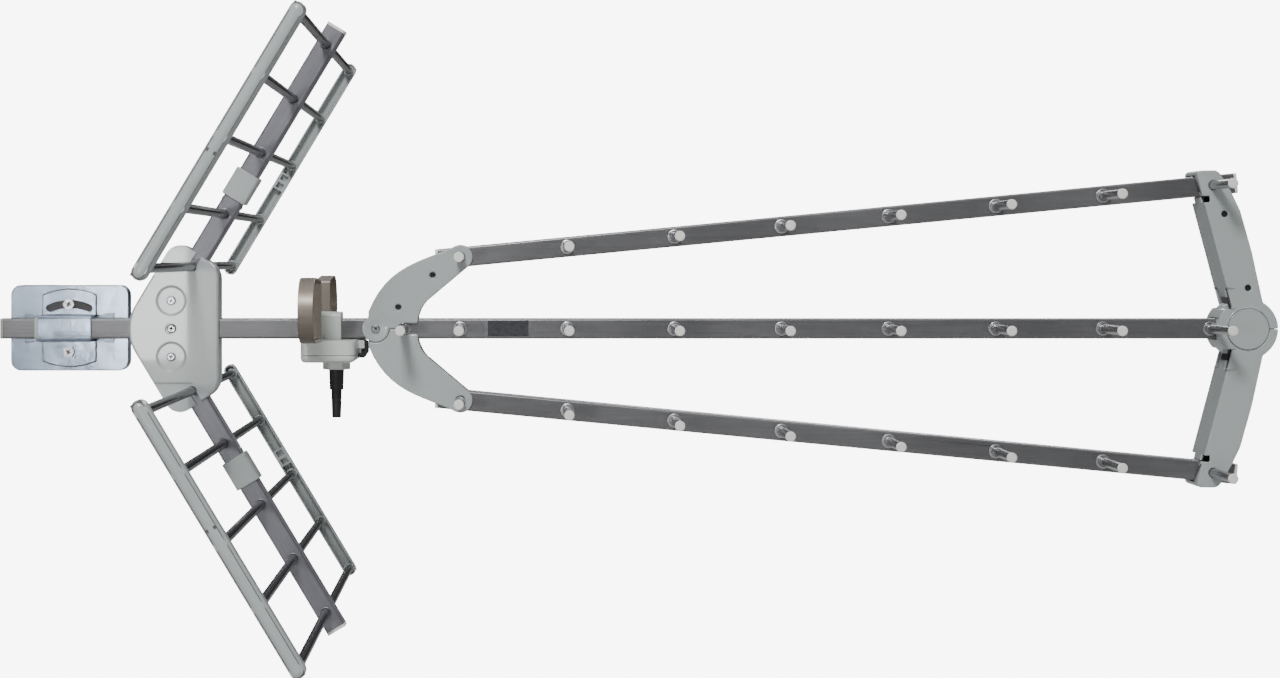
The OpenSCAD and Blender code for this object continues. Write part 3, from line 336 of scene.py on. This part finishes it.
def softened(node, width_mm):
    """Puts a copy with rounded edges in a node's place and returns how many faces it has."""
    shape = bmesh.new()
    if node.startswith("front_spreader_"):
        shape.from_mesh(joined_with_lips(node, 1 if node.endswith("upper") else -1))
    else:
        shape.from_mesh(NODES[node].data)
    bmesh.ops.remove_doubles(shape, verts=shape.verts, dist=1e-6)
    bmesh.ops.dissolve_limit(shape, angle_limit=math.radians(0.4), verts=shape.verts,
                             edges=shape.edges)
    mesh = bpy.data.meshes.new(node + "_soft")
    shape.to_mesh(mesh)
    shape.free()
    mesh.shade_smooth()
    mesh.set_sharp_from_angle(angle=SHARP)
    piece = bpy.data.objects.new(node + "_soft", mesh)
    bpy.context.scene.collection.objects.link(piece)
    round_edge = piece.modifiers.new("round_edge", "BEVEL")
    round_edge.width = width_mm * MM
    round_edge.segments = 2
    round_edge.limit_method = "ANGLE"
    round_edge.angle_limit = SHARP
    round_edge.use_clamp_overlap = False
    round_edge.harden_normals = True
    depsgraph = bpy.context.evaluated_depsgraph_get()
    done = bpy.data.meshes.new_from_object(piece.evaluated_get(depsgraph))
    piece.modifiers.clear()
    piece.data = done
    done.materials.clear()
    done.materials.append(finish_of(node))
    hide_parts(node)
    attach(piece, body_of_node(node))
    return len(done.polygons)


SOFT_EDGES = {
    "front_spreader_upper": 1.2, "front_spreader_lower": 1.2,
    "rear_spreader_upper": 1.2, "rear_spreader_lower": 1.2,
    "hub_rear": 0.5, "boom_clip": 0.6, "dipole_box": 0.5,
    "upper_arm_sleeve": 0.9, "lower_arm_sleeve": 0.9,
    "front_plate": 1.0, "mast_seat": 0.4, "mast_jaw": 0.4, "boom_saddle": 0.4,
    "main_boom": 0.4, "upper_boom": 0.4, "lower_boom": 0.4,
    "boom_cradle": 0.3, "box_latch": 0.7, "cable_nut": 0.6, "clamp_bolts": 0.4,
    "clamp_nuts": 0.4, "dipole_near": 0.25, "dipole_far": 0.25, "boom_liner": 0.2,
}
for name, width in SOFT_EDGES.items():
    print(name, "softened by", width, "mm:", softened(name, width), "faces")

# %% [markdown]
# Each rod sits in a hole that was flared and pressed tight, which leaves a rolled rim on both
# faces of the tube. The rims repeat along every boom and arm, so Geometry Nodes place
# them: a line of points, a flattened ring on each, and one turn and shift for the whole row.


# %% Geometry Nodes tree for rows of rims
def rim_row_tree():
    tree = bpy.data.node_groups.new("rim_row", "GeometryNodeTree")
    face = tree.interface
    face.new_socket("Geometry", in_out="INPUT", socket_type="NodeSocketGeometry")
    for label, kind, value in [
            ("Count", "NodeSocketInt", 8), ("First", "NodeSocketFloat", 0.0),
            ("Pitch", "NodeSocketFloat", 0.1), ("Face", "NodeSocketFloat", 0.009),
            ("Ring Radius", "NodeSocketFloat", 0.005), ("Ring Width", "NodeSocketFloat", 0.001),
            ("Flatness", "NodeSocketFloat", 0.5), ("Turn", "NodeSocketVector", None),
            ("Place", "NodeSocketVector", None), ("Material", "NodeSocketMaterial", None)]:
        socket = face.new_socket(label, in_out="INPUT", socket_type=kind)
        if value is not None:
            socket.default_value = value
    face.new_socket("Geometry", in_out="OUTPUT", socket_type="NodeSocketGeometry")
    start, end = tree.nodes.new("NodeGroupInput"), tree.nodes.new("NodeGroupOutput")
    link = tree.links.new
    ring = add(tree, "GeometryNodeCurvePrimitiveCircle")
    ring.inputs["Resolution"].default_value = 28
    wire = add(tree, "GeometryNodeCurvePrimitiveCircle")
    wire.inputs["Resolution"].default_value = 8
    link(start.outputs["Ring Radius"], ring.inputs["Radius"])
    link(start.outputs["Ring Width"], wire.inputs["Radius"])
    sweep = add(tree, "GeometryNodeCurveToMesh")
    link(ring.outputs["Curve"], sweep.inputs["Curve"])
    link(wire.outputs["Curve"], sweep.inputs["Profile Curve"])
    squash = add(tree, "ShaderNodeCombineXYZ")
    squash.inputs[0].default_value = squash.inputs[1].default_value = 1.0
    link(start.outputs["Flatness"], squash.inputs[2])
    lay = add(tree, "GeometryNodeTransform")
    link(sweep.outputs[0], lay.inputs["Geometry"])
    link(squash.outputs[0], lay.inputs["Scale"])
    stand = add(tree, "GeometryNodeTransform")
    stand.inputs["Rotation"].default_value = (math.pi / 2, 0.0, 0.0)
    link(lay.outputs[0], stand.inputs["Geometry"])
    rows = add(tree, "GeometryNodeJoinGeometry")
    for side in (-1.0, 1.0):
        depth = add(tree, "ShaderNodeMath", operation="MULTIPLY")
        depth.inputs[1].default_value = side
        link(start.outputs["Face"], depth.inputs[0])
        origin = add(tree, "ShaderNodeCombineXYZ")
        link(start.outputs["First"], origin.inputs[0])
        link(depth.outputs[0], origin.inputs[1])
        step = add(tree, "ShaderNodeCombineXYZ")
        link(start.outputs["Pitch"], step.inputs[0])
        line = add(tree, "GeometryNodeMeshLine")
        link(start.outputs["Count"], line.inputs["Count"])
        link(origin.outputs[0], line.inputs["Start Location"])
        link(step.outputs[0], line.inputs["Offset"])
        put = add(tree, "GeometryNodeInstanceOnPoints")
        link(line.outputs[0], put.inputs["Points"])
        link(stand.outputs[0], put.inputs["Instance"])
        link(put.outputs[0], rows.inputs[0])
    move = add(tree, "GeometryNodeTransform")
    link(rows.outputs[0], move.inputs["Geometry"])
    link(start.outputs["Turn"], move.inputs["Rotation"])
    link(start.outputs["Place"], move.inputs["Translation"])
    real = add(tree, "GeometryNodeRealizeInstances")
    paint = add(tree, "GeometryNodeSetMaterial")
    link(move.outputs[0], real.inputs[0])
    link(real.outputs[0], paint.inputs["Geometry"])
    link(start.outputs["Material"], paint.inputs["Material"])
    link(paint.outputs[0], end.inputs[0])
    return tree


RIM_ROW = rim_row_tree()


def grow(name, tree, values):
    """Runs a Geometry Nodes tree once and keeps its result as a plain mesh."""
    holder = bpy.data.objects.new(name, bpy.data.meshes.new(name))
    bpy.context.scene.collection.objects.link(holder)
    modifier = holder.modifiers.new("grow", "NODES")
    modifier.node_group = tree
    ids = {i.name: i.identifier for i in tree.interface.items_tree if i.in_out == "INPUT"}
    for label, value in values.items():
        modifier[ids[label]] = value
    depsgraph = bpy.context.evaluated_depsgraph_get()
    mesh = bpy.data.meshes.new_from_object(holder.evaluated_get(depsgraph))
    holder.modifiers.clear()
    holder.data = mesh
    mesh.shade_smooth()
    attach(holder, "antenna")
    print(name, "has", len(mesh.polygons), "faces")


print("tree", RIM_ROW.name, "has", len(RIM_ROW.nodes), "nodes")

# %% [markdown]
# The directors' rims are broad and bright: their metal is lighter than the tube's, a painted
# highlight. Those of the reflector rods are narrower and as dark as the arm, and an arm's first
# rod lies inside the hub, so it gets none. The rods aren't evenly spaced, because the arm is
# joined in the middle, so each of their rims is a row of one.

# %% Rims on the booms and arms
RIM = {"Ring Radius": 5.0 * MM, "Ring Width": 1.5 * MM, "Flatness": 0.26, "Face": BOOM_HALF}
ARM_RIM = {"Ring Radius": 4.6 * MM, "Ring Width": 0.7 * MM, "Flatness": 0.5, "Face": BOOM_HALF}


def rim_row(name, count, first, pitch, turn, place, mat, ring=RIM):
    grow(name, RIM_ROW, {**ring, "Count": count, "First": first, "Pitch": pitch,
                         "Turn": (0.0, turn, 0.0), "Place": place, "Material": mat})


rim_row("main_boom_rims", STATIONS, STATION_X, PITCH, 0.0, (0, BOOM_Y, 0),
        FINISHES["rim_metal_highlight"])
rim_row("main_tail_rim", 1, REAR_DIRECTOR_X, PITCH, 0.0, (0, BOOM_Y, 0),
        FINISHES["rim_metal_highlight"])
slant_pitch = PITCH / math.cos(SPLAY)
for label, side in SIDES:
    rim_row(label + "_boom_rims", STATIONS - 2, slant_pitch, slant_pitch, -side * SPLAY,
            (STATION_X, BOOM_Y, side * REAR_RISE), FINISHES["rim_metal_highlight"])
    for number, place in enumerate(ROD_PLACES[1:], start=2):
        rim_row(f"{label}_arm_rim_{number}", 1, place, PITCH, -side * ARM_ANGLE,
                (ARM_X, BOOM_Y, side * ARM_Z), ARM_FINISH[label], ARM_RIM)

# %% [markdown]
# The middle boom carries a small dark plate: a charcoal field between two thin bright edges, a
# tenth of a millimetre proud of the tube. It and several later details are plain blocks, so
# helpers come first that add a block to a mesh and make a mesh a piece of the scene.


# %% Blank plate on the middle boom
def add_block(shape, low, high):
    made = bmesh.ops.create_cube(shape, size=1.0)["verts"]
    bmesh.ops.scale(shape, vec=high - low, verts=made)
    bmesh.ops.translate(shape, vec=(low + high) / 2, verts=made)


def set_down(name, shape, mat, body="antenna"):
    """Makes a piece of a finished bmesh and gives it its finish and body."""
    mesh = bpy.data.meshes.new(name)
    shape.to_mesh(mesh)
    shape.free()
    mesh.materials.append(mat)
    piece = bpy.data.objects.new(name, mesh)
    bpy.context.scene.collection.objects.link(piece)
    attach(piece, body)


def slab(name, low, high, mat):
    shape = bmesh.new()
    add_block(shape, Vector(low), Vector(high))
    set_down(name, shape, mat)


FRONT = BOOM_Y - BOOM_HALF
EDGE_W = 1.4
plate_dark = finish("plate_dark", (0.030, 0.030, 0.036), 0.0, 0.4, (400, 0.25))
slab("blank_plate", (376.0 * MM, FRONT - 0.12 * MM, -6.8 * MM),
     (412.0 * MM, FRONT + 0.1 * MM, 7.2 * MM), plate_dark)
for label, x in (("left", 373.4), ("right", 413.2)):
    slab("plate_edge_" + label, (x * MM, FRONT - 0.1 * MM, -7.0 * MM),
         ((x + EDGE_W) * MM, FRONT + 0.1 * MM, 7.4 * MM), FINISHES["screw_steel"])
print("plate on the boom's front face at y =", round(FRONT, 5))

# %% [markdown]
# Beside the joint of each grey strip are two small windows. They open into the channel, where
# light hardly reaches, so a black pad of painted shade lies on the tongue at the bottom of each
# one.

# %% Painted shade in the strips' windows
STRIP_W, STRIP_JOINT, TONGUE_L = 13 * MM, 134 * MM, 9 * MM
WINDOW_X, WINDOW_Z = STRIP_JOINT + 0.45 * TONGUE_L, 0.26 * STRIP_W
WINDOW_L, WINDOW_W = TONGUE_L / 3, 0.18 * STRIP_W
PAD_DEPTH, PAD_T, PAD_GAP = 2.4 * MM, 0.3 * MM, 0.05 * MM
STRIP_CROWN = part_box("upper_far_strip_inner")[1].y - BOOM_Y
FACES = (("near", -1), ("far", 1))
for label, side in SIDES:
    for depth, face in FACES:
        shape = bmesh.new()
        for row in (-1, 1):
            middle = Vector((WINDOW_X + WINDOW_L / 2, face * (STRIP_CROWN - PAD_DEPTH),
                             row * WINDOW_Z))
            reach = Vector((WINDOW_L / 2 - PAD_GAP, PAD_T / 2, WINDOW_W / 2 - PAD_GAP))
            add_block(shape, middle - reach, middle + reach)
        bmesh.ops.transform(shape, matrix=on_arm(side), verts=shape.verts)
        # Painted shade: black pads where the windows' shade falls.
        set_down(f"{label}_{depth}_window_shade", shape, FINISHES["black_plastic"])
print("strips' crowns", round(STRIP_CROWN, 4), "m from the middle plane")

# %% [markdown]
# Light hardly reaches the bottom of a strip's open channel, so a dark sheet of painted shade lies
# there. It is what makes the channel's thin walls stand out as bright lines.

# %% Painted shade in the strips' channels
CHANNEL_SHADE_START, CHANNEL_SHADE_STOP, CHANNEL_SHADE_W = 26.5 * MM, 272.0 * MM, 9.8 * MM
CHANNEL_SHADE_DEPTH, CHANNEL_SHADE_HALF_T = 1.75 * MM, 0.2 * MM
for label, side in SIDES:
    for depth, face in FACES:
        middle = face * (STRIP_CROWN - CHANNEL_SHADE_DEPTH)
        shape = bmesh.new()
        add_block(shape, Vector((CHANNEL_SHADE_START, middle - CHANNEL_SHADE_HALF_T, -CHANNEL_SHADE_W / 2)),
                  Vector((CHANNEL_SHADE_STOP, middle + CHANNEL_SHADE_HALF_T, CHANNEL_SHADE_W / 2)))
        bmesh.ops.transform(shape, matrix=on_arm(side), verts=shape.verts)
        # Painted shade: a dark sheet where the channel's shade falls.
        set_down(f"{label}_{depth}_channel_shade", shape, FINISHES["channel_painted_shade"])
print("channel_shade_sheets are", round((CHANNEL_SHADE_STOP - CHANNEL_SHADE_START) / MM, 1), "mm long")

# %% [markdown]
# Each spreader half has two round sockets in one face, on the near side for the upper half and on
# the far side for the lower one. They look black from the shade inside them, so a black disc of
# painted shade closes the bottom of each one.

# %% Painted shade at the bottoms of the spreaders' sockets
SOCKETS = {"rear": (5.4, [(326.98, 47.58), (296.53, 18.99)]),
           "front": (3.5, [(1027.88, 101.76), (1048.78, 36.25)])}
SOCKET_R, DISC_T = 2.9 * MM, 0.2 * MM
facing = Matrix.Rotation(math.pi / 2, 3, "X")
for end, (deep, places) in SOCKETS.items():
    face_half = abs(BOOM_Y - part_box(f"{end}_spreader_upper")[0].y)
    for label, side in SIDES:
        shape = bmesh.new()
        for x, z in places:
            disc = bmesh.ops.create_cone(shape, cap_ends=True, segments=32, radius1=SOCKET_R,
                                         radius2=SOCKET_R, depth=DISC_T)["verts"]
            bmesh.ops.rotate(shape, matrix=facing, verts=disc)
            bmesh.ops.translate(shape, verts=disc, vec=(
                x * MM, BOOM_Y - side * (face_half - deep * MM), side * z * MM))
        # Painted shade: black discs where the sockets' shade falls.
        set_down(f"{end}_{label}_socket_shade", shape, FINISHES["black_plastic"])
print("socket_shade darkened in", len(SOCKETS) * len(SIDES), "spreader halves")

# %% [markdown]
# The front spreader has an open slot in its side wall, above and below its disc. A black wall of
# painted shade stands inside each one, and a narrow black slit of painted shade lies on the wall
# where the slot opens. The lips that close the faces above leave only that slit to be seen.

# %% Painted shade in the front spreader's slots
SLOT_X, SLOT_Z, SLOT_HALF_T = (1041, 1056), (19, 37), 1 * MM
SLIT = [(1034.2, 17.5), (1035.2, 17.5), (1032.4, 28.0), (1031.4, 28.0)]
SLIT_NEAR, SLIT_FAR = 12.5 * MM, 3.5 * MM
for label, side in SIDES:
    low, high = sorted(side * z * MM for z in SLOT_Z)
    # Painted shade: a black wall inside each slot, and below it a black slit on the side wall.
    slab(f"front_{label}_dark", (SLOT_X[0] * MM, BOOM_Y - SLOT_HALF_T, low),
         (SLOT_X[1] * MM, BOOM_Y + SLOT_HALF_T, high), FINISHES["black_plastic"])
    shape = bmesh.new()
    prism(shape, SLIT, side, BOOM_Y - SLIT_NEAR, BOOM_Y + SLIT_FAR)
    set_down(f"front_{label}_slit_shade", shape, FINISHES["black_plastic"])
print("slits are", SLIT[2][1] - SLIT[1][1], "mm high")

# %% [markdown]
# The saddle over the boom stands a little off the clamp's front plate. Shade in the gap shows as a
# dark line all round it and through its curved slot, so a thin black sheet of painted shade, just
# larger than the saddle's outline, lies between the two and tilts with the saddle. It is the
# convex hull of the saddle's own corners, each moved out by the width of the line.

# %% Painted shade in the gap behind the saddle
GAP_RIM, GAP_T, GAP_AHEAD = 0.9 * MM, 0.2 * MM, 0.07 * MM
gap_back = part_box("front_plate")[0].y - GAP_AHEAD
saddle_low, saddle_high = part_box("boom_saddle")
saddle_mid = (saddle_low + saddle_high) / 2
gap = bmesh.new()
for corner in NODES["boom_saddle"].data.vertices:
    away = Vector((corner.co.x - saddle_mid.x, 0.0, corner.co.z - saddle_mid.z))
    rim = corner.co + away.normalized() * GAP_RIM
    for y in (gap_back, gap_back - GAP_T):
        gap.verts.new((rim.x, y, rim.z))
hull = bmesh.ops.convex_hull(gap, input=gap.verts)
spare = {v for key in ("geom_interior", "geom_unused") for v in hull[key]
         if isinstance(v, bmesh.types.BMVert)}
bmesh.ops.delete(gap, geom=list(spare), context="VERTS")
bmesh.ops.remove_doubles(gap, verts=gap.verts, dist=1e-6)
bmesh.ops.dissolve_limit(gap, angle_limit=math.radians(1), verts=gap.verts, edges=gap.edges)
print("gap sheet has", len(gap.faces), "faces")
# Painted shade: a black sheet where the gap's shade falls.
set_down("saddle_gap_shade", gap, FINISHES["black_plastic"])

# %% [markdown]
# The screws of the hub and of the tilt clamp have drive recesses. Shade in a recess this small
# reads as a dark star, so each is painted shade: a thin cross of near-black metal lying on the
# head.

# %% Painted shade of the screws' drive recesses
# Painted shade: a near-black finish standing for the recesses' shade.
recess_shade = finish("recess_shade", (0.02, 0.02, 0.022), 0.5, 0.5)
CROSS_T = 0.12 * MM
HUB_HEAD_T, TILT_Z = 3.2 * MM, 21.4 * MM


def recess_shade_cross(name, x, y, z, arm, width, body, turn):
    shape = bmesh.new()
    for k in range(2):
        made = bmesh.ops.create_cube(shape, size=1.0)["verts"]
        bmesh.ops.scale(shape, vec=(arm, CROSS_T, width), verts=made)
        quarter = Matrix.Rotation(turn + k * math.pi / 2, 3, "Y")
        bmesh.ops.rotate(shape, matrix=quarter, verts=made)
        bmesh.ops.translate(shape, vec=(x, y, z), verts=made)
    set_down(name, shape, recess_shade, body)


hub_screw_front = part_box("hub_screws")[0].y
rear_screw_low, rear_screw_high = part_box("rear_spreader_screw")
tilt_screw_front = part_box("tilt_screws")[0].y
for label, side in SIDES:
    recess_shade_cross("hub_recess_shade_" + label, ARM_X, hub_screw_front, side * ARM_Z, 3.6 * MM, 0.9 * MM,
          "antenna", 0.5)
recess_shade_cross("hub_recess_shade_middle", ARM_X, FRONT - HUB_HEAD_T, 0.0, 4.4 * MM, 1.1 * MM, "antenna", 0.2)
recess_shade_cross("spreader_recess_shade", (rear_screw_low.x + rear_screw_high.x) / 2, rear_screw_low.y, 0.0,
      3.6 * MM, 0.9 * MM, "antenna", 0.7)
for label, side in SIDES:
    recess_shade_cross("tilt_recess_shade_" + label, 0.0, tilt_screw_front, side * TILT_Z, 4.8 * MM, 1.2 * MM,
          "mast_clamp", 0.4)
print("crosses laid at y =", round(hub_screw_front, 5), round(tilt_screw_front, 5))

# %% [markdown]
# A pale floor lies well below the aerial, deep enough to clear it when it is tilted. The floor
# and the sky behind it both show the camera an even white, as in the photograph, while they light
# the metal with the greys of a studio. The same few nodes do that for both.


# %% Floor and sky
BACKDROP = 8.0
FLOOR_Z, FLOOR_HALF = -0.62, 30.0


def seen_bright(tree, base, output):
    """Camera rays see an even bright white, and every other ray sees what was there before."""
    path = add(tree, "ShaderNodeLightPath")
    white = add(tree, "ShaderNodeEmission")
    white.inputs["Strength"].default_value = BACKDROP
    mix = add(tree, "ShaderNodeMixShader")
    tree.links.new(path.outputs["Is Camera Ray"], mix.inputs[0])
    tree.links.new(base, mix.inputs[1])
    tree.links.new(white.outputs[0], mix.inputs[2])
    tree.links.new(mix.outputs[0], output.inputs["Surface"])


floor_shape = bmesh.new()
bmesh.ops.create_grid(floor_shape, x_segments=1, y_segments=1, size=FLOOR_HALF)
bmesh.ops.translate(floor_shape, vec=(0, 0, FLOOR_Z), verts=floor_shape.verts)
floor_mesh = bpy.data.meshes.new("floor")
floor_shape.to_mesh(floor_mesh)
floor_shape.free()
floor = bpy.data.objects.new("floor", floor_mesh)
bpy.context.scene.collection.objects.link(floor)
floor_mat = bpy.data.materials.new("floor_paper")
floor_mat.use_nodes = True
paper = floor_mat.node_tree
paper_shader = paper.nodes["Principled BSDF"]
paper_shader.inputs["Base Color"].default_value = (0.35, 0.35, 0.35, 1)
paper_shader.inputs["Roughness"].default_value = 0.9
seen_bright(paper, paper_shader.outputs[0], paper.nodes["Material Output"])
floor_mesh.materials.append(floor_mat)

world = bpy.data.worlds.new("studio")
world.use_nodes = True
sky = world.node_tree
look = add(sky, "ShaderNodeTexCoord")
rise = add(sky, "ShaderNodeSeparateXYZ")
steps = add(sky, "ShaderNodeValToRGB")
steps.color_ramp.elements[0].color = (0.06, 0.06, 0.065, 1)
steps.color_ramp.elements[0].position = 0.50
steps.color_ramp.elements[1].color = (0.65, 0.67, 0.70, 1)
steps.color_ramp.elements[1].position = 0.85
above = steps.color_ramp.elements.new(0.97)
above.color = (3.0, 3.0, 3.0, 1)
half = add(sky, "ShaderNodeMapRange")
half.inputs["From Min"].default_value = -1.0
sky.links.new(look.outputs["Generated"], rise.inputs[0])
sky.links.new(rise.outputs["Z"], half.inputs["Value"])
sky.links.new(half.outputs["Result"], steps.inputs[0])
sky.links.new(steps.outputs[0], sky.nodes["Background"].inputs["Color"])
sky.nodes["Background"].inputs["Strength"].default_value = 0.5
seen_bright(sky, sky.nodes["Background"].outputs[0], sky.nodes["World Output"])
bpy.context.scene.world = world
print("floor at z =", FLOOR_Z, "and a sky of", len(steps.color_ramp.elements), "tones")

# %% [markdown]
# Soft light comes from large lamps in front and behind. Two small ones far to the left are there
# for their reflections, which lie on the clamp's plate and on the hub. The fill lamp is hidden
# from reflections, so all that it does is lift the shadows.


# %% Lamps
def lamp(name, place, aim, size, power, mirrored=True):
    data = bpy.data.lights.new(name, "AREA")
    data.shape = "RECTANGLE"
    data.size, data.size_y = size
    data.energy = power
    light = bpy.data.objects.new(name, data)
    light.location = place
    light.rotation_euler = (Vector(aim) - Vector(place)).to_track_quat("-Z", "Y").to_euler()
    light.visible_glossy = mirrored
    bpy.context.scene.collection.objects.link(light)


lamp("key", (0.0, -2.2, 1.7), (0.45, 0.0, 0.0), (0.5, 0.5), 67)
lamp("fill", (0.7, -2.3, -0.5), (0.5, 0.0, 0.0), (1.2, 1.2), 12, mirrored=False)
lamp("rear", (1.3, 2.4, 1.8), (0.5, 0.0, 0.0), (1.2, 1.2), 60)
lamp("hub_window", (-0.235, -1.9, -0.02), (-0.235, 0.0, -0.02), (0.11, 0.20), 3.2)
lamp("plate_window", (-0.50, -1.9, 0.02), (-0.50, 0.0, 0.02), (0.06, 0.12), 0.35)
print("lamps:", len(bpy.data.lights))

# %% [markdown]
# The camera stands in front of the middle of the booms and looks straight at them. Its lens is
# shifted, because the photograph is a crop whose centre isn't the optical one.

# %% Camera
CAMERA_DISTANCE = 1.850
camera_data = bpy.data.cameras.new("camera")
camera_data.sensor_width = 36.0
camera_data.lens = 58.27
camera_data.shift_x = 0.1016
camera_data.shift_y = -0.0648
camera = bpy.data.objects.new("camera", camera_data)
camera.location = (0.3956, BOOM_Y - CAMERA_DISTANCE, 0.0645)
camera.rotation_euler = (math.pi / 2, 0.0, 0.0)
bpy.context.scene.collection.objects.link(camera)
bpy.context.scene.camera = camera
print("camera at", [round(v, 4) for v in camera.location])
